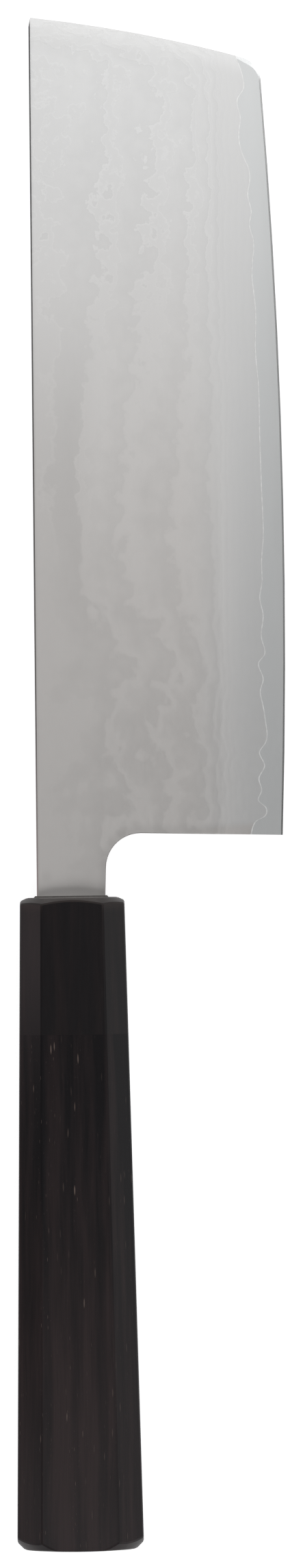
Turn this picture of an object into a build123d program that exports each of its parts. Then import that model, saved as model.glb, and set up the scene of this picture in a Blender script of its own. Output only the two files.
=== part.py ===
from build123d import *
from math import cos, radians, sin, sqrt, tan
import os

# A nakiri: a tall, straight vegetable knife with a laminated blade and an octagonal wooden handle.
#
# The knife lies on its side, right face of the blade up. X runs from spine to cutting edge, Y from butt to tip and
# Z up. The origin is under the middle of the knife's outline, on the surface that the handle lies on.
# A station is a distance along the knife from the mouth of the handle, positive towards the tip. An offset is a
# distance across the knife from the handle's axis, positive towards the cutting edge.

# Lengths along the knife
blade_length = 165.0
neck_length = 12.0
handle_length = 131.5
ferrule_length = 27.5

# Outline of the blade
spine_offset_at_mouth = 7.1
spine_offset_at_tip = 6.45
spine_corner_ease = 0.35
spine_corner_ease_angle = 11.0
edge_offset = 43.67
edge_radius = 1370.0
belly_length = 54.0
tip_setback = 13.0
tip_corner_radius = 5.0
tip_corner_turn = 70.0
heel_rake = 0.9
choil_radius = 7.0
neck_offset_at_heel = 7.1
neck_offset_at_mouth = 6.7

# Thickness of the blade: flats that thin from spine to bevel and from the heel both ways, then the bevel
heel_thickness = 2.4
tip_thickness = 1.7
tang_end_thickness = 1.8
shinogi_thickness = 2.0
shinogi_offset = 29.7
edge_thickness = 0.15
bevel_angle = 3.8
stock_stations_share = (0.0, 0.25, 0.5, 0.75, 1.0)
spine_chamfer = 0.3
choil_chamfer = 0.25

# Honed edge: the small final bevel, which wraps round the corner of the tip and dies out there
honing_angle = 15.0
honing_height = 0.7
honed_corner_turn = 44.0

# Tang inside the handle
machi_depth = 6.0
tang_depth = 92.0
tang_root_height = 9.6
tang_end_height = 5.0
tang_corner_radius = 1.5
machi_radius = 0.6

# Layers of the laminate
core_thickness = 0.4
bright_layer_thickness = 0.08
bright_line_width = 0.2
weld_height = 4.4

# The weld line meanders along the edge: share of the blade's length from the heel, share of the weld height
weld_line_shares = (
    (-0.030, 1.60), (0.008, 1.38), (0.018, 1.18), (0.024, 0.80), (0.033, 0.77), (0.043, 1.14),
    (0.054, 1.00), (0.069, 1.13), (0.085, 0.88), (0.101, 1.12), (0.111, 0.89), (0.138, 0.86),
    (0.160, 1.00), (0.178, 1.10), (0.190, 0.98), (0.211, 1.18), (0.219, 0.94), (0.239, 1.05),
    (0.269, 0.98), (0.290, 1.13), (0.304, 1.04), (0.333, 1.03), (0.356, 0.95), (0.406, 0.95),
    (0.448, 0.97), (0.503, 0.97), (0.551, 0.95), (0.595, 1.02), (0.642, 0.92), (0.690, 0.99),
    (0.730, 0.87), (0.745, 0.98), (0.759, 0.86), (0.779, 0.97), (0.797, 0.84), (0.812, 0.84),
    (0.827, 1.04), (0.860, 1.15), (0.876, 1.05), (0.890, 1.14), (0.900, 1.07), (0.909, 0.82),
    (0.921, 0.77), (0.953, 1.10), (0.975, 1.45),
)

# Handle: an octagon that widens towards the butt. A corner is what a 45 degree facet takes off each side.
front_width = 21.0
front_thickness = 17.6
front_corner = 4.3
butt_width = 25.5
butt_thickness = 20.5
butt_corner = 4.95
handle_ease = 0.25

# Rounded front of the ferrule: an ellipse is left flat, and the rest falls away like a low cone
front_flat_width = 18.2
front_flat_thickness = 15.0
front_fall_length = 3.0
front_fall_spread = 6.6

# Butt: a shallow dome with a chamfered rim
butt_dome_radius = 133.0
butt_rim_radius = 11.3
butt_rim_angle = 45.0

# Dowel, bedding and seal
dowel_radius = 6.0
dowel_past_tang = 8.2
dowel_chamfer = 0.8
dowel_end_gap = 0.5
bedding_gap = 0.35
mouth_gap = 0.2
seal_depth = 3.0
bead_width = 0.45
bead_height = 0.35
bead_slope = 40.0

cut_overrun = 4.0
grinding_allowance = 0.3

os.makedirs("parts", exist_ok=True)

# Places worked out from the sizes
heel_station = neck_length
tip_station = neck_length + blade_length
belly_station = neck_length + belly_length
edge_end_station = tip_station - tip_setback
choil_station = neck_length + heel_rake
overall_length = handle_length + tip_station
overall_width = butt_width / 2 + edge_offset
axis_x = butt_width / 2 - overall_width / 2
mouth_y = handle_length - overall_length / 2
axis_z = butt_thickness / 2
core_half = core_thickness / 2
spine_lean = (spine_offset_at_mouth - spine_offset_at_tip) / tip_station
spine_offset_at_heel = spine_offset_at_mouth - spine_lean * heel_station
flat_slope = (heel_thickness - shinogi_thickness) / 2 / (shinogi_offset + spine_offset_at_heel)
tip_thinning = (heel_thickness - tip_thickness) / 2 / blade_length
tang_thinning = (heel_thickness - tang_end_thickness) / 2 / (neck_length + tang_depth)
mouth_thickness = heel_thickness - 2 * tang_thinning * neck_length
tang_slot_station = -machi_depth - mouth_gap
dowel_length = tang_depth + dowel_past_tang + tang_slot_station

knife_plane = Plane(origin=(axis_x, mouth_y, axis_z), x_dir=(1, 0, 0), z_dir=(0, 0, 1))
handle_axis = Axis((axis_x, mouth_y, axis_z), (0, 1, 0))
heel_corner = knife_plane.origin + Vector(-spine_offset_at_heel, heel_station, heel_thickness / 2)


def section_plane(station):
    """The plane square across the knife at a station, facing the tip. Its second direction points down."""
    return Plane(origin=(axis_x, mouth_y + station, axis_z), x_dir=(1, 0, 0), z_dir=(0, 1, 0))


def between(low, high, share):
    """The value that lies a share of the way from low to high."""
    return low + (high - low) * share


def edge_offset_at(station):
    """The cutting edge is a very large arc: the offset falls away from the belly towards heel and tip."""
    return edge_offset - edge_radius + sqrt(edge_radius**2 - (station - belly_station) ** 2)


def neck_offset_at(station):
    """The underside of the neck narrows a little towards the mouth."""
    return between(neck_offset_at_mouth, neck_offset_at_heel, station / choil_station)


def flat_plane(thinning):
    """The plane of a right flat, facing outwards. Thinning is what half the blade loses per length towards the tip."""
    return Plane(origin=heel_corner, z_dir=(flat_slope, thinning, 1))


def spine_chamfer_plane(thinning):
    """The plane that breaks the corner between the spine and a right flat."""
    middle = Vector(spine_chamfer / 2, 0, -spine_chamfer / 2)
    return Plane(origin=heel_corner + middle, z_dir=(flat_slope - 1, spine_lean + thinning, 1))


def stock_section(station):
    """Cross-section of the stock: a block whose edge side slopes at the bevel angle, at a place set by the edge."""
    outside = -spine_offset_at_mouth - cut_overrun
    top = heel_thickness / 2 + grinding_allowance
    slope = tan(radians(bevel_angle))
    edge = edge_offset_at(station)
    half = edge_thickness / 2
    with BuildSketch() as section:
        with BuildLine():
            Polyline(
                (outside, grinding_allowance),
                (outside, -top),
                (edge - (top - half) / slope, -top),
                (edge + (half + grinding_allowance) / slope, grinding_allowance),
                close=True,
            )
        make_face()
    return section.sketch


def edge_arc(mode):
    """The cutting edge, from behind the tang's end to the corner of the tip."""
    below = -tang_depth - cut_overrun
    return ThreePointArc(
        (edge_offset_at(below), below),
        (edge_offset, belly_station),
        (edge_offset_at(edge_end_station), edge_end_station),
        mode=mode,
    )


def honed_corner_arc(edge, mode):
    """The first part of the tip's corner, which is honed like the edge."""
    return JernArc(edge @ 1, edge % 1, radius=tip_corner_radius, arc_size=honed_corner_turn, mode=mode)


def honing_outline():
    """Follows the cutting edge and the honed part of the tip's corner, and is wide of the blade elsewhere."""
    above = tip_station + 2 * cut_overrun
    outside = -spine_offset_at_mouth - 2 * cut_overrun
    with BuildSketch() as outline:
        with BuildLine():
            edge = edge_arc(Mode.ADD)
            corner = honed_corner_arc(edge, Mode.ADD)
            leaving = corner % 1
            run = (above - (corner @ 1).Y) / leaving.Y
            away = Line(corner @ 1, corner @ 1 + leaving * run)
            Polyline(away @ 1, (outside, above), (outside, (edge @ 0).Y), edge @ 0)
        make_face()
    return outline.sketch


def blade_outline():
    """Plan of blade, neck and tang. It is over-wide at the spine and the edge, which other faces bound."""
    outside = -spine_offset_at_mouth - cut_overrun
    beyond_edge = edge_offset + cut_overrun
    tip_point = (spine_corner_ease - spine_offset_at_tip, tip_station)
    choil_corner = (neck_offset_at_heel, choil_station)
    heel_drop = heel_rake / (edge_offset_at(heel_station) - neck_offset_at_heel)
    with BuildSketch() as outline:
        with BuildLine():
            honed = honed_corner_arc(edge_arc(Mode.PRIVATE), Mode.PRIVATE)
            arriving = honed % 1
            run = ((honed @ 1).X - beyond_edge) / arriving.X
            approach = Line(honed @ 1 - arriving * run, honed @ 1)
            plain_turn = tip_corner_turn - honed_corner_turn
            corner = JernArc(honed @ 1, arriving, radius=tip_corner_radius, arc_size=plain_turn)
            TangentArc(corner @ 1, tip_point, tangent=corner % 1)
            ease = PolarLine(tip_point, cut_overrun, angle=-90 - spine_corner_ease_angle)
            Polyline(
                ease @ 1,
                (outside, (ease @ 1).Y),
                (outside, -machi_depth),
                (-tang_root_height / 2, -machi_depth),
                (-tang_end_height / 2, -tang_depth),
                (tang_end_height / 2, -tang_depth),
                (tang_root_height / 2, -machi_depth),
                (neck_offset_at(-machi_depth), -machi_depth),
                choil_corner,
                (beyond_edge, choil_station - heel_drop * (beyond_edge - neck_offset_at_heel)),
                approach @ 0,
            )
        make_face()
        fillet(outline.vertices().sort_by_distance(choil_corner)[0], radius=choil_radius)
        fillet(outline.vertices().group_by(Axis.Y)[0], radius=tang_corner_radius)
        for root_offset in (-tang_root_height / 2, tang_root_height / 2):
            root = (root_offset, -machi_depth)
            fillet(outline.vertices().sort_by_distance(root)[0], radius=machi_radius)
    return outline.sketch


def spine_side_of_weld(inset):
    """Plan of all that lies on the spine side of the weld line, which is moved away from the edge by inset."""
    outside = -spine_offset_at_mouth - cut_overrun
    below = -tang_depth - cut_overrun
    above = tip_station + cut_overrun
    points = []
    for length_share, height_share in weld_line_shares:
        station = heel_station + blade_length * length_share
        points.append((edge_offset_at(station) - weld_height * height_share - inset, station))
    with BuildSketch() as region:
        with BuildLine():
            Spline(*points)
            Polyline(
                points[-1],
                (points[-1][0], above),
                (outside, above),
                (outside, below),
                (points[0][0], below),
                points[0],
            )
        make_face()
    return region.sketch


def butt_dome_station(radius):
    """Station of the domed butt at a radius from the handle's axis."""
    return -handle_length + butt_dome_radius - (butt_dome_radius**2 - radius**2) ** 0.5


def facet_plane(angle, front_distance, butt_distance):
    """The plane of one facet of the handle, facing outwards at an angle round the axis."""
    outwards = Vector(cos(radians(angle)), 0, sin(radians(angle)))
    lean = (butt_distance - front_distance) / handle_length
    return Plane(origin=knife_plane.origin + outwards * front_distance, z_dir=outwards + Vector(0, lean, 0))


def corner_distance(width, thickness, corner):
    """Distance from the axis to a 45 degree facet."""
    return ((width + thickness) / 2 - corner) / sqrt(2)


def neck_slot_outline():
    """Cross-section of the slot round the neck: the neck at the mouth, with the gap all round."""
    width = spine_offset_at_mouth + neck_offset_at_mouth + 2 * mouth_gap
    with BuildSketch() as outline:
        with Locations(((neck_offset_at_mouth - spine_offset_at_mouth) / 2, 0)):
            Rectangle(width, mouth_thickness + 2 * mouth_gap)
    return outline.sketch


def tang_slot_outline():
    """Plan of the slot round the tang, which tapers as the tang does."""
    end = -tang_depth - bedding_gap
    with BuildSketch() as outline:
        with BuildLine():
            Polyline(
                (-tang_root_height / 2 - bedding_gap, tang_slot_station),
                (-tang_end_height / 2 - bedding_gap, end),
                (tang_end_height / 2 + bedding_gap, end),
                (tang_root_height / 2 + bedding_gap, tang_slot_station),
                close=True,
            )
        make_face()
    return outline.sketch


# The right half of the forged and ground blade, before it is told apart into layers: ground stock, which is cut to
# the profile with the corners of choil and neck eased, and then honed
with BuildPart() as right_half:
    for stock_share in stock_stations_share:
        station = between(-tang_depth - cut_overrun, tip_station + cut_overrun, stock_share)
        with BuildSketch(section_plane(station)):
            add(stock_section(station))
    loft()
    split(bisect_by=knife_plane, keep=Keep.TOP)
    split(bisect_by=Plane(origin=heel_corner, z_dir=(-1, spine_lean, 0)), keep=Keep.BOTTOM)
    for thinning in (tip_thinning, -tang_thinning):
        split(bisect_by=flat_plane(thinning), keep=Keep.BOTTOM)
        split(bisect_by=spine_chamfer_plane(thinning), keep=Keep.BOTTOM)
    with BuildPart(mode=Mode.INTERSECT) as profile_cut:
        with BuildSketch(knife_plane):
            add(blade_outline())
        extrude(amount=heel_thickness / 2 - choil_chamfer)
        extrude(profile_cut.faces().sort_by(Axis.Z)[-1], amount=2 * choil_chamfer, taper=45)
    with BuildPart(mode=Mode.INTERSECT):
        with BuildSketch(knife_plane):
            add(honing_outline())
        extrude(amount=honing_height, taper=90 - honing_angle)
        with BuildSketch(knife_plane.offset(honing_height)):
            add(honing_outline())
        extrude(amount=cut_overrun)

# The whole blade: the left half is ground alike
with BuildPart() as blade:
    add(right_half.part)
    mirror(right_half.part, about=knife_plane)

# Right cladding: layered steel over the right side of blade, neck and tang
with BuildPart() as right_cladding:
    add(right_half.part)
    with BuildSketch(knife_plane.offset(core_half + bright_layer_thickness)):
        add(spine_side_of_weld(bright_line_width))
    extrude(amount=heel_thickness, mode=Mode.INTERSECT)

# Right bright layer: the thin sheet under the cladding, which comes to the surface as the bright weld line
with BuildPart() as right_bright_layer:
    add(right_half.part)
    with BuildSketch(knife_plane.offset(core_half)):
        add(spine_side_of_weld(0))
    extrude(amount=heel_thickness, mode=Mode.INTERSECT)
    with BuildSketch(knife_plane.offset(core_half + bright_layer_thickness)):
        add(spine_side_of_weld(bright_line_width))
    extrude(amount=heel_thickness, mode=Mode.SUBTRACT)

# The left side is laid up alike
with BuildPart() as left_cladding:
    mirror(right_cladding.part, about=knife_plane)

with BuildPart() as left_bright_layer:
    mirror(right_bright_layer.part, about=knife_plane)

# Core steel: the middle of the sandwich, out to the cutting edge and back to the end of the tang
with BuildPart() as core_steel:
    add(blade.part)
    with BuildSketch(knife_plane.offset(core_half), knife_plane.offset(-core_half - heel_thickness)):
        add(spine_side_of_weld(0))
    extrude(amount=heel_thickness, mode=Mode.SUBTRACT)

# Envelope of the ferrule's rounded front
with BuildPart() as front_envelope:
    with BuildSketch(section_plane(0)):
        Ellipse(front_flat_width / 2, front_flat_thickness / 2)
    with BuildSketch(section_plane(-front_fall_length)):
        Ellipse(front_flat_width / 2 + front_fall_spread, front_flat_thickness / 2 + front_fall_spread)
    loft(ruled=True)
    with BuildSketch(section_plane(-front_fall_length)):
        Rectangle(2 * butt_width, 2 * butt_width)
    extrude(amount=-handle_length)

# Envelope of the butt: a shallow dome whose rim is chamfered
with BuildPart() as butt_envelope:
    with BuildSketch(knife_plane):
        with BuildLine():
            dome = ThreePointArc(
                (0, -handle_length),
                (butt_rim_radius / 2, butt_dome_station(butt_rim_radius / 2)),
                (butt_rim_radius, butt_dome_station(butt_rim_radius)),
            )
            rim = PolarLine(dome @ 1, butt_width, angle=butt_rim_angle)
            Polyline(rim @ 1, ((rim @ 1).X, cut_overrun), (0, cut_overrun), dome @ 0)
        make_face()
    revolve(axis=handle_axis)

# The handle before it is cut into ferrule and body: eight facets planed on a block, then both ends rounded
front_corner_distance = corner_distance(front_width, front_thickness, front_corner)
butt_corner_distance = corner_distance(butt_width, butt_thickness, butt_corner)
with BuildPart() as handle_blank:
    with BuildSketch(section_plane(0)):
        Rectangle(2 * butt_width, 2 * butt_width)
    extrude(amount=-handle_length)
    for quarter in range(4):
        wide = quarter % 2 == 0
        front_half = (front_width if wide else front_thickness) / 2
        butt_half = (butt_width if wide else butt_thickness) / 2
        split(bisect_by=facet_plane(90 * quarter, front_half, butt_half), keep=Keep.BOTTOM)
        corner_facet = facet_plane(90 * quarter + 45, front_corner_distance, butt_corner_distance)
        split(bisect_by=corner_facet, keep=Keep.BOTTOM)
    add(front_envelope.part, mode=Mode.INTERSECT)
    add(butt_envelope.part, mode=Mode.INTERSECT)
    chamfer(handle_blank.edges(), length=handle_ease)

# Ferrule: black horn, slotted for the neck and bored from behind for the dowel
with BuildPart() as ferrule:
    add(handle_blank.part)
    split(bisect_by=section_plane(-ferrule_length), keep=Keep.TOP)
    with BuildSketch(section_plane(0)):
        add(neck_slot_outline())
    extrude(amount=tang_slot_station, mode=Mode.SUBTRACT)
    with BuildSketch(section_plane(tang_slot_station)):
        Circle(dowel_radius)
    extrude(amount=-handle_length, mode=Mode.SUBTRACT)

# Handle body: ebony, bored blind from the front
with BuildPart() as handle_body:
    add(handle_blank.part)
    split(bisect_by=section_plane(-ferrule_length), keep=Keep.BOTTOM)
    with BuildSketch(section_plane(-ferrule_length)):
        Circle(dowel_radius)
    extrude(amount=ferrule_length + tang_slot_station - dowel_length - dowel_end_gap, mode=Mode.SUBTRACT)

# Dowel: joins ferrule and body, and takes the tang in its slot
with BuildPart() as handle_dowel:
    with BuildSketch(section_plane(tang_slot_station)):
        Circle(dowel_radius)
    extrude(amount=-dowel_length)
    chamfer(handle_dowel.edges().group_by(Axis.Y)[0], length=dowel_chamfer)
    with BuildSketch(knife_plane):
        add(tang_slot_outline())
    extrude(amount=heel_thickness / 2 + bedding_gap, both=True, mode=Mode.SUBTRACT)

# Bedding: resin round the tang, up to the seal
with BuildPart() as tang_bedding:
    with BuildSketch(knife_plane):
        add(tang_slot_outline())
    extrude(amount=heel_thickness / 2 + bedding_gap, both=True)
    with BuildSketch(section_plane(-seal_depth)):
        add(neck_slot_outline())
    extrude(amount=tang_slot_station + seal_depth)
    add(blade.part, mode=Mode.SUBTRACT)

# Seal at the mouth: fills the front of the slot and stands round the neck as a small sloping bead
with BuildPart() as mouth_seal:
    with BuildSketch(section_plane(0)):
        add(neck_slot_outline())
    extrude(amount=-seal_depth)
    with BuildSketch(section_plane(0)):
        add(neck_slot_outline())
        offset(amount=bead_width, kind=Kind.ARC)
    extrude(amount=bead_height, taper=bead_slope)
    add(blade.part, mode=Mode.SUBTRACT)

core_steel.part.label = "core_steel"
right_bright_layer.part.label = "right_bright_layer"
left_bright_layer.part.label = "left_bright_layer"
right_cladding.part.label = "right_cladding"
left_cladding.part.label = "left_cladding"
ferrule.part.label = "ferrule"
handle_body.part.label = "handle_body"
handle_dowel.part.label = "handle_dowel"
tang_bedding.part.label = "tang_bedding"
mouth_seal.part.label = "mouth_seal"

export_step(core_steel.part, "parts/core_steel.step")
export_step(right_bright_layer.part, "parts/right_bright_layer.step")
export_step(left_bright_layer.part, "parts/left_bright_layer.step")
export_step(right_cladding.part, "parts/right_cladding.step")
export_step(left_cladding.part, "parts/left_cladding.step")
export_step(ferrule.part, "parts/ferrule.step")
export_step(handle_body.part, "parts/handle_body.step")
export_step(handle_dowel.part, "parts/handle_dowel.step")
export_step(tang_bedding.part, "parts/tang_bedding.step")
export_step(mouth_seal.part, "parts/mouth_seal.step")
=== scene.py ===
"""Looks for the nakiri knife.

Procedural steel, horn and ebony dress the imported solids, on a pale floor in soft studio light.
"""

import math

import bpy
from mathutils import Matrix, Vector


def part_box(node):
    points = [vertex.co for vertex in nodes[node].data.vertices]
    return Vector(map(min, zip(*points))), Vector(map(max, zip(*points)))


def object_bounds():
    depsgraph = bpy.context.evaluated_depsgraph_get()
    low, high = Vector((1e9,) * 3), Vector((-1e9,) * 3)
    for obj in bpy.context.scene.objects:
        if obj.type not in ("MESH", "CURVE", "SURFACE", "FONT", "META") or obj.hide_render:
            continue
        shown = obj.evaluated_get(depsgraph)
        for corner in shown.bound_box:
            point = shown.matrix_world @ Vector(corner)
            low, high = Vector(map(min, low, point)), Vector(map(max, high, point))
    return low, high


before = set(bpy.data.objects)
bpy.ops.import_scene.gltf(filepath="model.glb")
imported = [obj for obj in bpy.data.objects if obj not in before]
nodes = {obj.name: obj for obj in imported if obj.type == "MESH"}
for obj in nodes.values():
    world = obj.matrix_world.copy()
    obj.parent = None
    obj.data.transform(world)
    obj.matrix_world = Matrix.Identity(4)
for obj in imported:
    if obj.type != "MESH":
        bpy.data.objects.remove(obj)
cad_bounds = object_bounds()

MM = 0.001

# The knife's own directions, in millimetres: offset runs from the handle's axis towards the cutting edge,
# station from the mouth of the handle towards the tip, and height up from the middle of the blade. Where they
# start follows from the frame.
ferrule_low, ferrule_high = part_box("ferrule")
ferrule_middle = (ferrule_low + ferrule_high) / 2
AXIS_X = ferrule_middle.x / MM
AXIS_Z = ferrule_middle.z / MM
MOUTH_Y = ferrule_high.y / MM
TIP_STATION = cad_bounds[1].y / MM - MOUTH_Y

# The edge of the tip: how far it starts on the spine side of the axis, its slope there and how fast it
# steepens
TIP_OFFSET = 6.45
TIP_SLOPE = 0.127
TIP_CURVE = 0.0017

# The arc between neck and heel: its centre and radius
CHOIL_OFFSET = 14.1
CHOIL_STATION = 5.9
CHOIL_RADIUS = 7.0

# The spine: its distance from the axis at the mouth, and how much nearer it comes with each millimetre of
# station
SPINE_OFFSET = 7.1
SPINE_LEAN = 0.00367

# The bevel, whose start carries a painted highlight: the offset where the flat turns into it, half the width
# of that turn, where the painted highlight has faded, and how far its start drifts
BEVEL_OFFSET = 31.0
BEVEL_TURN = 0.4
BEVEL_FADED = 39.0
BEVEL_DRIFT = 1.2

# How many layers the grinding has gone through at each offset. A layer shows pale from a whole number on.
LAYER_CURVE = (
    (-8.0, 0.12), (0.4, 0.36), (9.6, 1.0), (12.6, 1.36), (19.8, 2.0), (22.2, 2.36), (26.2, 3.0),
    (29.4, 4.0), (31.2, 5.0), (32.5, 6.0), (33.7, 7.0), (35.1, 8.0), (36.6, 9.0), (44.0, 14.0),
)
LAYERS = LAYER_CURVE[-1][1]

# How far the layers bow towards the spine at each station down the blade, in layers
BOW_CURVE = (
    (-15.0, 0.1), (20.0, 0.0), (42.0, 0.05), (60.0, 0.5), (72.0, 0.82),
    (90.0, 0.72), (106.0, 0.45), (139.0, 0.18), (165.0, 0.0), (180.0, 0.0),
)

# The arch that the layers turn along near the tip: how far its top lies on the spine side of the axis, and
# its spread, which divides the square of the distance from there to give the fall
ARCH_OFFSET = 6.0
ARCH_SPREAD = 422.0

# Where the look of the steel changes across the blade, each from one offset to another
BOW_SETS_IN = (-3.0, 6.0)
BOW_FADES = (31.0, 24.0)
FOLDS_SET_IN = (-4.0, 9.0)
LAYERS_FADE = (34.0, 28.5)
CRISP_BY_SPINE = (7.0, 2.0)
SPINE_DARKENS = (8.0, -1.0)
EDGE_SHADE_SETS_IN = (31.0, 42.0)
CORE_SHADE_SETS_IN = (38.0, 43.7)
WARMTH_SETS_IN = (38.0, 22.0)

# Where it changes along the blade, each from one station to another
LOBES_TO_TIP = (132.0, 166.0)
LOBES_TO_HEEL = (66.0, 40.0)
FOLDS_TO_TIP = (95.0, 135.0)
LAYERS_TO_TIP = (105.0, 150.0)
LAYERS_FROM_HEEL = (30.0, 90.0)
CRISP_TO_TIP = (96.0, 140.0)
CRISP_TO_HEEL = (60.0, 36.0)
CRISP_SPINE_TO_TIP = (60.0, 85.0)
BEVEL_HIGHLIGHT_TO_HEEL = (140.0, 50.0)
EDGE_SHADE_FROM_HEEL = (20.0, 80.0)
CORE_SHADE_FROM_HEEL = (30.0, 90.0)
CORE_TO_HEEL = (90.0, 30.0)
BRIGHT_TO_HEEL = (70.0, 20.0)
WARMTH_TO_HEEL = (165.0, 50.0)

# The station where the spine side is darkest, and how far from there it is still darker
SPINE_DARKEST = 84.0
SPINE_DARK_REACH = 46.0

# Distances at which a change sets in, and at which it is full: the layers turning and curling along the arch,
# the painted shade beside the choil and the spine, and the painted highlight by the tip
LAYERS_TURN = (11.0, 0.0)
LAYERS_CURL = (9.0, 1.0)
CHOIL_SHADE_REACH = (2.3, 0.3)
BY_SPINE = (0.9, 0.2)
TIP_HIGHLIGHT_REACH = (4.5, 0.0)

# How much a surface still faces up where the painted shade of eased edges, the honed edge and the horn's
# painted rim highlight set in, and where they are full
EASED_EDGE_SHADE = (0.93, 0.75)
HONED = (0.992, 0.975)
RIM = (0.99, 0.95)

# Colours of the steels
CLADDING_COOL = (0.695, 0.695, 0.692)
CLADDING_WARM = (0.705, 0.682, 0.664)
CORE = (0.655, 0.665, 0.665)
BRIGHT_LAYER = (0.81, 0.81, 0.805)

# Colours of the horn, woods and resins, each from its darkest to its palest
HORN = (0.0062, 0.0050, 0.0060), (0.0130, 0.0086, 0.0090)
# The paler colour of the horn's front rim, a painted highlight
HORN_RIM_HIGHLIGHT = (0.030, 0.022, 0.020)
EBONY = (0.0034, 0.0025, 0.0036), (0.0220, 0.0136, 0.0142)
PORE = (0.150, 0.112, 0.096)
DOWEL = (0.42, 0.28, 0.15), (0.62, 0.46, 0.29)
BEDDING = (0.05, 0.04, 0.03), (0.10, 0.08, 0.06)
SEAL = (0.05, 0.045, 0.04), (0.16, 0.15, 0.14)

# Stations over which the ebony turns from black to browner, and over which the horn's painted rim highlight
# sets in
EBONY_BROWNS = (-25.0, -112.0)
RIM_HIGHLIGHT_SETS_IN = (-3.4, -0.4)

# Offsets over which the ebony's pores gather in strings
PORES_GATHER = (6.0, 1.0)

# The ebony's kinds of pores: cells to a millimetre across and along the grain, the share of cells without a
# pore, and the strength of the rest
PORES = (
    (1.3, 0.16, 0.66, 0.85),
    (3.0, 0.36, 0.76, 0.45),
    (5.0, 0.9, 0.82, 0.32),
)

# Depths of the relief on steel, horn, ebony, plain wood and resin
STEEL_RELIEF = 0.003 * MM
HORN_RELIEF = 0.004 * MM
EBONY_RELIEF = 0.02 * MM
WOOD_RELIEF = 0.03 * MM
RESIN_RELIEF = 0.02 * MM

# The floor: half its width in metres, its colour, and how much it glows to the camera and in mirrors. There
# the glow grows from the first number at the spine side to the second at the edge side, between these x.
FLOOR_HALF = 3.0
FLOOR_COLOUR = (0.55, 0.55, 0.55)
FLOOR_GLOW = 0.80
FLOOR_MIRRORED = (0.05, 0.60)
FLOOR_MIRRORED_X = (-0.15, 0.15)

# The camera: its distance from the knife in metres, the height and middle of its picture there, the tilt of
# the knife in the picture, and the height of the sensor in millimetres
DISTANCE = 3.0
FRAME_HEIGHT = 0.3154
FRAME_MIDDLE = (0.83 * MM, -0.16 * MM)
TILT = math.radians(0.7709)
SENSOR_HEIGHT = 24.0

# The softboxes lie flat above the knife. Each has a name, two x and two y in metres, and the brightness of
# its face.
SOFTBOX_HEIGHT = 0.5
SOFTBOXES = (
    ("softbox_heel", (-0.22, 0.22), (-0.06, 0.058), 0.05),
    ("softbox_blade", (-0.22, 0.22), (0.058, 0.16), 0.81),
    ("softbox_tip", (-0.22, 0.22), (0.16, 0.44), 1.43),
    ("softbox_corner", (0.18, 0.36), (0.21, 0.43), 2.0),
    ("softbox_edge", (0.20, 0.40), (0.04, 0.21), 0.27),
    ("softbox_butt", (-0.45, 0.45), (-0.36, -0.17), 2.2),
)

# The strips stand on the floor at the spine side. Each has a name, two y in metres, the brightness of its
# face, and a colour.
STRIP_X = -0.15
STRIP_HEIGHT = 0.06
STRIPS = (
    ("strip_mouth", (-0.045, -0.015), 1.45, (1.0, 0.80, 0.82)),
    ("strip_butt", (-0.175, -0.134), 0.75, (1.0, 0.92, 0.92)),
)

# The light from the world, as ramps: two values of a direction's x or z, then the light at each. It dims at
# the spine side and overhead.
WORLD_SPINE_SIDE = (-0.98, -0.5, 0.04, 1.0)
WORLD_RISING = (0.60, 0.88, 0.64, 0.05)

# Node trees and materials


def rgba(colour):
    """A colour written as three numbers gets its fourth. A socket stays as it is."""
    return (*colour, 1.0) if isinstance(colour, tuple) else colour


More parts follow.
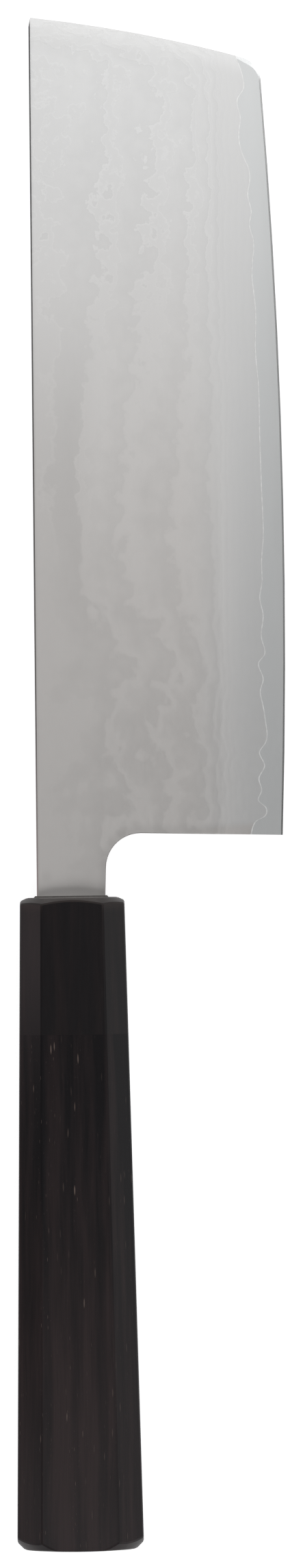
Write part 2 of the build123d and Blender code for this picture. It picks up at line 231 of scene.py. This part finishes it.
class Tree:
    """A short way to write a node tree: most calls add a node and return the socket that leaves it."""

    def __init__(self, owner):
        owner.use_nodes = True
        self.tree = owner.node_tree
        self.tree.nodes.clear()

    def add(self, kind, **settings):
        node = self.tree.nodes.new(kind)
        for name, value in settings.items():
            setattr(node, name, value)
        return node

    def feed(self, socket, value):
        """Links a socket to the input, or sets the input's own value."""
        if isinstance(value, bpy.types.NodeSocket):
            self.tree.links.new(value, socket)
        else:
            socket.default_value = value

    def math(self, operation, *values):
        node = self.add("ShaderNodeMath", operation=operation)
        for socket, value in zip(node.inputs, values):
            self.feed(socket, value)
        return node.outputs[0]

    def sum(self, total, *others):
        for other in others:
            total = self.math("ADD", total, other)
        return total

    def minus(self, value, taken):
        return self.math("SUBTRACT", value, taken)

    def times(self, value, factor):
        return self.math("MULTIPLY", value, factor)

    def larger(self, first, second):
        return self.math("MAXIMUM", first, second)

    def line(self, value, slope, start):
        """The value times a slope, plus a start."""
        return self.math("MULTIPLY_ADD", value, slope, start)

    def ramp(self, value, low, high, to_low=0.0, to_high=1.0, smooth=True):
        """From one number to another while the value goes from low to high, and level beyond them."""
        kind = "SMOOTHSTEP" if smooth else "LINEAR"
        node = self.add("ShaderNodeMapRange", interpolation_type=kind)
        for socket, number in zip(node.inputs, (value, low, high, to_low, to_high)):
            self.feed(socket, number)
        return node.outputs[0]

    def peak(self, value, middle, width):
        """1 at the middle, falling to 0 at a width on either side."""
        away = self.math("ABSOLUTE", self.minus(value, middle))
        return self.ramp(away, width, 0.0)

    def curve(self, value, points):
        """A smooth curve through points between 0 and 1."""
        node = self.add("ShaderNodeFloatCurve")
        self.feed(node.inputs["Value"], value)
        line = node.mapping.curves[0]
        for x, y in points[1:-1]:
            line.points.new(x, y)
        line.points[0].location = points[0]
        line.points[-1].location = points[-1]
        node.mapping.update()
        return node.outputs[0]

    def vector(self, x, y, z):
        node = self.add("ShaderNodeCombineXYZ")
        for socket, value in zip(node.inputs, (x, y, z)):
            self.feed(socket, value)
        return node.outputs[0]

    def split(self, vector):
        node = self.add("ShaderNodeSeparateXYZ")
        self.feed(node.inputs[0], vector)
        return node.outputs

    def noise(self, place, detail, roughness=0.5, distortion=0.0):
        node = self.add("ShaderNodeTexNoise")
        self.feed(node.inputs["Vector"], place)
        node.inputs["Scale"].default_value = 1.0
        node.inputs["Detail"].default_value = detail
        node.inputs["Roughness"].default_value = roughness
        node.inputs["Distortion"].default_value = distortion
        return node.outputs["Fac"]

    def cells(self, place, randomness=1.0):
        """Distance from the middle of the nearest cell, and that cell's random colour."""
        node = self.add("ShaderNodeTexVoronoi")
        self.feed(node.inputs["Vector"], place)
        node.inputs["Scale"].default_value = 1.0
        node.inputs["Randomness"].default_value = randomness
        return node.outputs["Distance"], node.outputs["Color"]

    def mix(self, factor, first, second):
        """A colour between two others."""
        node = self.add("ShaderNodeMix", data_type="RGBA")
        self.feed(node.inputs[0], factor)
        self.feed(node.inputs[6], rgba(first))
        self.feed(node.inputs[7], rgba(second))
        return node.outputs[2]

    def brighter(self, colour, factor):
        """A colour times a number that may leave the range from 0 to 1."""
        node = self.add("ShaderNodeVectorMath", operation="SCALE")
        self.feed(node.inputs[0], colour)
        self.feed(node.inputs["Scale"], factor)
        return node.outputs[0]

    def bump(self, height, depth):
        node = self.add("ShaderNodeBump")
        node.inputs["Strength"].default_value = 1.0
        node.inputs["Distance"].default_value = depth
        self.feed(node.inputs["Height"], height)
        return node.outputs["Normal"]

    def surface(self, colour, roughness, metallic=0.0, normal=None, specular=0.5):
        """Ends the tree in a surface."""
        node = self.add("ShaderNodeBsdfPrincipled")
        self.feed(node.inputs["Base Color"], rgba(colour))
        self.feed(node.inputs["Roughness"], roughness)
        node.inputs["Metallic"].default_value = metallic
        node.inputs["Specular IOR Level"].default_value = specular
        if normal is not None:
            self.feed(node.inputs["Normal"], normal)
        output = self.add("ShaderNodeOutputMaterial")
        self.feed(output.inputs["Surface"], node.outputs[0])


def material(name):
    made = bpy.data.materials.new(name)
    return made, Tree(made)


def dress(node, made):
    for slot in nodes[node].material_slots:
        slot.material = made


def knife_place(t):
    """Offset, station and height in millimetres, as three sockets."""
    x, y, z = t.split(t.add("ShaderNodeTexCoord").outputs["Object"])
    offset = t.line(x, 1 / MM, -AXIS_X)
    station = t.line(y, 1 / MM, -MOUTH_Y)
    height = t.line(z, 1 / MM, -AXIS_Z)
    return offset, station, height


def on_blade(t, offset, station, across, along, seed):
    """A place for a pattern on the flats: so many features to a millimetre across and along the blade.

    Each pattern has its own seed, so that none follows another.
    """
    return t.vector(t.times(offset, across), t.times(station, along), seed)


def in_solid(t, place, across, along):
    """A place for a pattern through a solid: so many features to a millimetre across and along it."""
    offset, station, height = place
    return t.vector(t.times(offset, across), t.times(station, along), t.times(height, across))


def tabled(t, value, table, top=1.0):
    """A curve through a table of points, none of them above the top."""
    low, high = table[0][0], table[-1][0]
    share = t.ramp(value, low, high, smooth=False)
    points = [((x - low) / (high - low), y / top) for x, y in table]
    return t.times(t.curve(share, points), top)


# Distances on the blade


def tip_distance(t, offset, station):
    """Distance in millimetres down the blade from the edge of the tip, which slopes and curves away."""
    across = t.sum(offset, TIP_OFFSET)
    fall = t.times(across, t.line(across, TIP_CURVE, TIP_SLOPE))
    return t.minus(t.minus(TIP_STATION, fall), station)


def arch_distance(t, offset, station):
    """Distance in millimetres down the blade from the arch that the layers turn along."""
    square = t.math("POWER", t.sum(offset, ARCH_OFFSET), 2.0)
    return t.minus(t.line(square, -1 / ARCH_SPREAD, TIP_STATION), station)


def choil_distance(t, offset, station):
    """Distance in millimetres from the outline between neck and heel, where the steel is eased."""
    across = t.larger(t.minus(CHOIL_OFFSET, offset), 0.0)
    up = t.larger(t.minus(station, CHOIL_STATION), 0.0)
    squares = t.sum(t.math("POWER", across, 2.0), t.math("POWER", up, 2.0))
    return t.minus(t.math("POWER", squares, 0.5), CHOIL_RADIUS)


def spine_distance(t, offset, station):
    """Distance in millimetres across the blade from the spine."""
    return t.sum(offset, t.times(station, -SPINE_LEAN), SPINE_OFFSET)


def upright(t):
    """How much a surface faces up or down, from 0 to 1."""
    return t.math("ABSOLUTE", t.split(t.add("ShaderNodeNewGeometry").outputs["Normal"])[2])


# Layered steel


def layer_folds(t, offset, station, seed):
    """Unevenness of the layers: lobes, ragged edges and a slow meander, least by the spine near the heel."""
    tip_part = t.ramp(station, *LOBES_TO_TIP)
    heel_part = t.ramp(station, *LOBES_TO_HEEL)
    lobes, _ = t.cells(on_blade(t, offset, station, 0.30, 0.26, seed), randomness=0.9)
    ragged = t.noise(on_blade(t, offset, station, 0.34, 0.30, seed + 9), detail=4.0, roughness=0.56)
    meander = t.noise(on_blade(t, offset, station, 0.10, 0.075, seed + 3), detail=1.0)
    lobe_size = t.sum(0.40, t.times(tip_part, 0.22), t.times(heel_part, 0.25))
    folds = t.sum(
        t.times(t.minus(lobes, 0.45), lobe_size),
        t.times(t.minus(ragged, 0.5), 1.25),
        t.times(t.minus(meander, 0.5), t.line(heel_part, 1.5, 0.7)),
    )
    reach = t.larger(t.ramp(offset, *FOLDS_SET_IN, 0.30, 1.0), t.ramp(station, *FOLDS_TO_TIP, 0.30, 0.95))
    return t.times(reach, folds)


def layer_count(t, offset, station, seed):
    """How many layers the grinding has gone through: contours of it are the lines of the layered steel."""
    ground = tabled(t, offset, LAYER_CURVE, LAYERS)
    bowed = t.times(t.ramp(offset, *BOW_FADES), t.ramp(offset, *BOW_SETS_IN, 0.15, 1.0))
    bow = t.times(tabled(t, station, BOW_CURVE), bowed)
    folds = layer_folds(t, offset, station, seed)
    from_arch = arch_distance(t, offset, station)
    rounded = t.times(t.math("POWER", t.ramp(from_arch, *LAYERS_TURN, smooth=False), 2.0), 2.8)
    curls = t.noise(on_blade(t, offset, station, 0.42, 0.55, seed + 14), detail=3.0)
    curled = t.times(t.minus(curls, 0.5), t.ramp(from_arch, *LAYERS_CURL, 0.0, 3.0))
    return t.sum(ground, bow, folds, rounded, curled)


def crispness(t, offset, station):
    """How sharply the layers show: most towards the tip and by the spine, a little at the heel."""
    to_tip = t.ramp(station, *CRISP_TO_TIP, 0.15, 1.0)
    to_heel = t.ramp(station, *CRISP_TO_HEEL, 0.0, 0.35)
    by_spine = t.times(t.ramp(offset, *CRISP_BY_SPINE), t.ramp(station, *CRISP_SPINE_TO_TIP, 0.0, 0.9))
    return t.larger(t.larger(to_tip, to_heel), by_spine)


def layer_parts(t, offset, station, seed):
    """The pale band at the start of each layer, the brighter rims of the band and the shade after it."""
    share = t.math("FRACT", layer_count(t, offset, station, seed))
    crisp = crispness(t, offset, station)
    rise = t.ramp(share, 0.0, t.line(crisp, -0.15, 0.18))
    sharp_band = t.ramp(share, 0.40, 0.35)
    soft_band = t.ramp(share, 0.95, 0.05)
    fall = t.sum(soft_band, t.times(crisp, t.minus(sharp_band, soft_band)))
    band = t.times(rise, fall)
    rims = t.larger(t.times(rise, t.ramp(share, 0.12, 0.05)), t.peak(share, 0.35, 0.05))
    rim = t.times(rims, t.line(crisp, 0.85, 0.15))
    shade = t.ramp(share, 0.45, 0.98)
    return band, rim, shade


def painted_blade_light(t, offset, station, seed):
    """Painted highlight at the bevel's start, painted shade towards the edge, and darker by the spine."""
    drift = t.noise(on_blade(t, offset, station, 0.3, 0.16, seed + 21), detail=4.0, roughness=0.6)
    drifted = t.sum(offset, t.times(drift, BEVEL_DRIFT))
    start, full = BEVEL_OFFSET - BEVEL_TURN, BEVEL_OFFSET + BEVEL_TURN
    bevel = t.times(t.ramp(drifted, start, full), t.ramp(drifted, BEVEL_FADED, full))
    # Painted highlight along the start of the bevel
    bevel_highlight = t.times(bevel, t.ramp(station, *BEVEL_HIGHLIGHT_TO_HEEL, -0.02, 0.08))
    # Painted shade: darker towards the edge, where the bevel falls away
    falling = t.times(t.ramp(offset, *EDGE_SHADE_SETS_IN, 0.0, -0.055), t.ramp(station, *EDGE_SHADE_FROM_HEEL, 0.2, 1.0))
    spine_side = t.times(t.ramp(offset, *SPINE_DARKENS), t.peak(station, SPINE_DARKEST, SPINE_DARK_REACH))
    return t.sum(bevel_highlight, falling, t.times(spine_side, -0.095))


def layered_steel(name, seed):
    """Satin layered cladding: pale ragged bands, wide apart on the flat and close together on the bevel."""
    made, t = material(name)
    offset, station, _ = knife_place(t)
    band, rim, shade = layer_parts(t, offset, station, seed)
    to_tip = t.ramp(station, *LAYERS_TO_TIP, 0.0, 0.45)
    from_heel = t.ramp(station, *LAYERS_FROM_HEEL, 0.60, 1.0)
    strength = t.times(t.ramp(offset, *LAYERS_FADE, 0.15, 1.0), t.sum(to_tip, from_heel))
    layers = t.times(strength, t.sum(t.times(band, 0.028), t.times(rim, 0.030), t.times(shade, -0.024)))
    cloud = t.noise(on_blade(t, offset, station, 0.06, 0.03, seed + 30), detail=3.0)
    haze = t.noise(on_blade(t, offset, station, 0.9, 0.5, seed + 40), detail=4.0, roughness=0.6)
    brushed = t.noise(on_blade(t, offset, station, 5.0, 0.12, seed + 50), detail=2.0)
    # Painted shade, with a brown tint, along the eased outline between neck and heel
    choil_shade = t.ramp(choil_distance(t, offset, station), *CHOIL_SHADE_REACH)
    # Painted shade along the eased spine
    by_spine = t.ramp(spine_distance(t, offset, station), *BY_SPINE)
    # Painted highlight along the edge of the tip
    tip_highlight = t.ramp(tip_distance(t, offset, station), *TIP_HIGHLIGHT_REACH)
    # Painted shade on eased edges and other faces that turn sideways
    edges = t.ramp(upright(t), *EASED_EDGE_SHADE)
    light = t.sum(
        0.97,
        layers,
        painted_blade_light(t, offset, station, seed),
        t.times(cloud, 0.05),
        t.times(haze, 0.022),
        t.times(brushed, 0.016),
        t.times(choil_shade, -0.10),
        t.times(by_spine, -0.07),
        t.times(tip_highlight, 0.10),
        t.times(edges, -0.42),
    )
    # The colour warms towards the heel, and with the painted shade by the choil
    by_heel = t.times(t.ramp(station, *WARMTH_TO_HEEL), t.ramp(offset, *WARMTH_SETS_IN))
    warmth = t.larger(by_heel, choil_shade)
    colour = t.brighter(t.mix(warmth, CLADDING_COOL, CLADDING_WARM), light)
    shown = t.times(band, strength)
    roughness = t.sum(0.35, t.times(shown, 0.03), t.times(haze, 0.03))
    relief = t.sum(t.times(shown, 0.6), t.times(haze, 0.25))
    t.surface(colour, roughness, metallic=1.0, normal=t.bump(relief, STEEL_RELIEF))
    return made


# Plain steels


def core_steel():
    """Bare core along the edge: plain, cooler than the cladding, smoothest where honed, with painted shade to
    the edge.
    """
    made, t = material("core_steel")
    offset, station, _ = knife_place(t)
    honed = t.ramp(upright(t), *HONED)
    cloud = t.noise(on_blade(t, offset, station, 0.4, 0.06, 3.0), detail=3.0)
    grain = t.noise(on_blade(t, offset, station, 9.0, 0.5, 5.0), detail=2.0)
    # Painted shade: darker towards the edge, where the bevel falls away
    falling = t.times(t.ramp(offset, *CORE_SHADE_SETS_IN, 0.0, -0.05), t.ramp(station, *CORE_SHADE_FROM_HEEL))
    by_station = t.ramp(station, *CORE_TO_HEEL, 0.97, 1.02)
    light = t.sum(by_station, t.times(cloud, 0.05), t.times(grain, 0.02), falling)
    roughness = t.minus(t.line(grain, 0.05, 0.34), t.times(honed, 0.14))
    t.surface(t.brighter(CORE, light), roughness, metallic=1.0, normal=t.bump(grain, STEEL_RELIEF))
    return made


def bright_steel():
    """The thin bright sheet that shows as the weld line."""
    made, t = material("bright_layer")
    offset, station, _ = knife_place(t)
    grain = t.noise(on_blade(t, offset, station, 1.6, 1.1, 7.0), detail=4.0, roughness=0.65)
    light = t.sum(t.ramp(grain, 0.36, 0.64, 0.0, 0.15), t.ramp(station, *BRIGHT_TO_HEEL, 0.90, 0.97))
    t.surface(t.brighter(BRIGHT_LAYER, light), t.line(grain, 0.1, 0.36), metallic=1.0)
    return made


# Handle


def horn():
    """Polished black horn: nearly black, faint brown streaks along the handle, a painted highlight on the
    front rim.
    """
    made, t = material("black_horn")
    place = knife_place(t)
    _, station, _ = place
    streak = t.noise(in_solid(t, place, 0.45, 0.03), detail=5.0, roughness=0.6, distortion=0.4)
    fine = t.noise(in_solid(t, place, 5.0, 0.15), detail=3.0)
    streaked = t.brighter(t.mix(t.ramp(streak, 0.40, 0.75), *HORN), t.line(fine, 0.5, 0.75))
    # Painted highlight on the sloping front rim of the horn
    rim = t.times(t.ramp(upright(t), *RIM), t.ramp(station, *RIM_HIGHLIGHT_SETS_IN))
    colour = t.mix(t.times(rim, 0.8), streaked, HORN_RIM_HIGHLIGHT)
    t.surface(colour, t.line(fine, 0.08, 0.29), normal=t.bump(fine, HORN_RELIEF), specular=0.25)
    return made


def pores(t, place):
    """Open pores of the wood: a few long pale flecks, in strings, and many short faint ones."""
    strings = t.noise(in_solid(t, place, 0.30, 0.022), detail=2.0)
    stringed = t.times(t.ramp(strings, 0.42, 0.56), t.ramp(place[0], *PORES_GATHER, 0.2, 1.0))
    found = 0.0
    for across, along, bare, strength in PORES:
        distance, lot = t.cells(in_solid(t, place, across, along))
        fleck = t.times(t.ramp(distance, 0.20, 0.08), t.ramp(t.split(lot)[0], bare, bare + 0.03))
        found = t.larger(found, t.times(fleck, strength))
    return t.times(found, t.line(stringed, 0.85, 0.15))


def ebony():
    """Oiled ebony: near black, with brown growth streaks and pale open pores along the grain."""
    made, t = material("ebony")
    offset, station, height = knife_place(t)
    bend = t.noise(t.vector(0.0, t.times(station, 0.02), 4.0), detail=1.0)
    place = (t.sum(offset, t.times(bend, 3.0)), station, height)
    growth = t.noise(in_solid(t, place, 0.22, 0.010), detail=5.0, roughness=0.62)
    fibre = t.noise(in_solid(t, place, 3.6, 0.07), detail=4.0, roughness=0.6)
    figure = t.noise(in_solid(t, place, 0.9, 0.05), detail=3.0, distortion=0.5)
    browner = t.ramp(station, *EBONY_BROWNS)
    share = t.sum(t.ramp(growth, 0.38, 0.64), t.times(figure, 0.5), t.times(browner, 0.8), -0.65)
    streaked = t.mix(t.ramp(share, 0.0, 1.2, smooth=False), *EBONY)
    wood = t.brighter(streaked, t.line(fibre, 0.8, 0.60))
    colour = t.mix(pores(t, place), wood, PORE)
    normal = t.bump(t.times(fibre, 0.3), EBONY_RELIEF)
    t.surface(colour, t.line(fibre, 0.10, 0.30), normal=normal, specular=0.225)
    return made


def plain_wood():
    made, t = material("dowel_wood")
    grain = t.noise(in_solid(t, knife_place(t), 1.4, 0.05), detail=5.0)
    t.surface(t.mix(grain, *DOWEL), t.line(grain, 0.2, 0.55), normal=t.bump(grain, WOOD_RELIEF))
    return made


def resin(name, colours, roughness):
    made, t = material(name)
    cloud = t.noise(in_solid(t, knife_place(t), 1.2, 1.2), detail=4.0)
    t.surface(t.mix(cloud, *colours), t.line(cloud, 0.12, roughness), normal=t.bump(cloud, RESIN_RELIEF))
    return made


# Floor, camera and light


def floor():
    """A floor that is white to the camera and keeps the knife's shadow, and dimmer in mirrors."""
    mesh = bpy.data.meshes.new("floor")
    corners = [(-1, -1), (1, -1), (1, 1), (-1, 1)]
    mesh.from_pydata([(x * FLOOR_HALF, y * FLOOR_HALF, 0) for x, y in corners], [], [(0, 1, 2, 3)])
    plane = bpy.data.objects.new("floor", mesh)
    bpy.context.collection.objects.link(plane)
    made, t = material("floor_white")
    diffuse = t.add("ShaderNodeBsdfDiffuse")
    diffuse.inputs["Color"].default_value = rgba(FLOOR_COLOUR)
    glow = t.add("ShaderNodeEmission")
    path = t.add("ShaderNodeLightPath").outputs
    mirrored = t.larger(path["Is Glossy Ray"], path["Is Transmission Ray"])
    across = t.split(t.add("ShaderNodeTexCoord").outputs["Object"])[0]
    in_mirror = t.times(mirrored, t.ramp(across, *FLOOR_MIRRORED_X, *FLOOR_MIRRORED))
    t.feed(glow.inputs["Strength"], t.larger(t.times(path["Is Camera Ray"], FLOOR_GLOW), in_mirror))
    both = t.add("ShaderNodeAddShader")
    t.feed(both.inputs[0], diffuse.outputs[0])
    t.feed(both.inputs[1], glow.outputs[0])
    output = t.add("ShaderNodeOutputMaterial")
    t.feed(output.inputs["Surface"], both.outputs[0])
    mesh.materials.append(made)


def photographing_camera():
    """Looks straight down from far above, turned so that the knife tilts as in the photograph."""
    data = bpy.data.cameras.new("camera")
    data.sensor_fit = "VERTICAL"
    data.sensor_height = SENSOR_HEIGHT
    data.lens = SENSOR_HEIGHT * DISTANCE / FRAME_HEIGHT
    data.clip_end = 20.0
    camera = bpy.data.objects.new("camera", data)
    camera.location = (*FRAME_MIDDLE, AXIS_Z * MM + DISTANCE)
    camera.rotation_euler = (0.0, 0.0, -TILT)
    bpy.context.collection.objects.link(camera)
    bpy.context.scene.camera = camera


def studio_world():
    """Soft light from the sides, dim overhead and at the spine side, and white where the camera sees it."""
    world = bpy.data.worlds.new("studio")
    bpy.context.scene.world = world
    t = Tree(world)
    background = t.add("ShaderNodeBackground")
    background.inputs["Color"].default_value = (1.0, 1.0, 1.0, 1.0)
    side, _, rise = t.split(t.add("ShaderNodeTexCoord").outputs["Generated"])
    light = t.times(t.ramp(side, *WORLD_SPINE_SIDE), t.ramp(rise, *WORLD_RISING))
    seen = t.add("ShaderNodeLightPath").outputs["Is Camera Ray"]
    t.feed(background.inputs["Strength"], t.larger(light, seen))
    output = t.add("ShaderNodeOutputWorld")
    t.feed(output.inputs["Surface"], background.outputs[0])


def area_light(name, centre, aim, width, depth, radiance, colour=(1.0, 1.0, 1.0)):
    """A rectangular lamp. Its power follows from how bright its face is."""
    data = bpy.data.lights.new(name, "AREA")
    data.shape = "RECTANGLE"
    data.size = width
    data.size_y = depth
    data.energy = radiance * math.pi * width * depth
    data.color = colour
    lamp = bpy.data.objects.new(name, data)
    bpy.context.collection.objects.link(lamp)
    lamp.location = centre
    lamp.rotation_euler = (Vector(aim) - Vector(centre)).to_track_quat("-Z", "Y").to_euler()
    lamp.visible_camera = False


def overhead(name, across, along, radiance):
    """A softbox flat above the knife, between two x and two y."""
    x, y = sum(across) / 2, sum(along) / 2
    width, depth = across[1] - across[0], along[1] - along[0]
    area_light(name, (x, y, SOFTBOX_HEIGHT), (x, y, 0.0), width, depth, radiance)


def beside(name, along, radiance, colour):
    """A strip that stands on the floor at the spine side, between two y, and faces the knife."""
    y, z = sum(along) / 2, STRIP_HEIGHT / 2
    area_light(name, (STRIP_X, y, z), (0.0, y, z), along[1] - along[0], STRIP_HEIGHT, radiance, colour)


dress("right_cladding", layered_steel("layered_steel_right", 0.0))
dress("left_cladding", layered_steel("layered_steel_left", 57.0))
bright = bright_steel()
dress("right_bright_layer", bright)
dress("left_bright_layer", bright)
dress("core_steel", core_steel())
dress("ferrule", horn())
dress("handle_body", ebony())
dress("handle_dowel", plain_wood())
dress("tang_bedding", resin("bedding_resin", BEDDING, 0.6))
dress("mouth_seal", resin("seal_resin", SEAL, 0.3))

floor()
photographing_camera()
studio_world()
for softbox in SOFTBOXES:
    overhead(*softbox)
for strip in STRIPS:
    beside(*strip)

bpy.context.scene.view_settings.view_transform = "Standard"
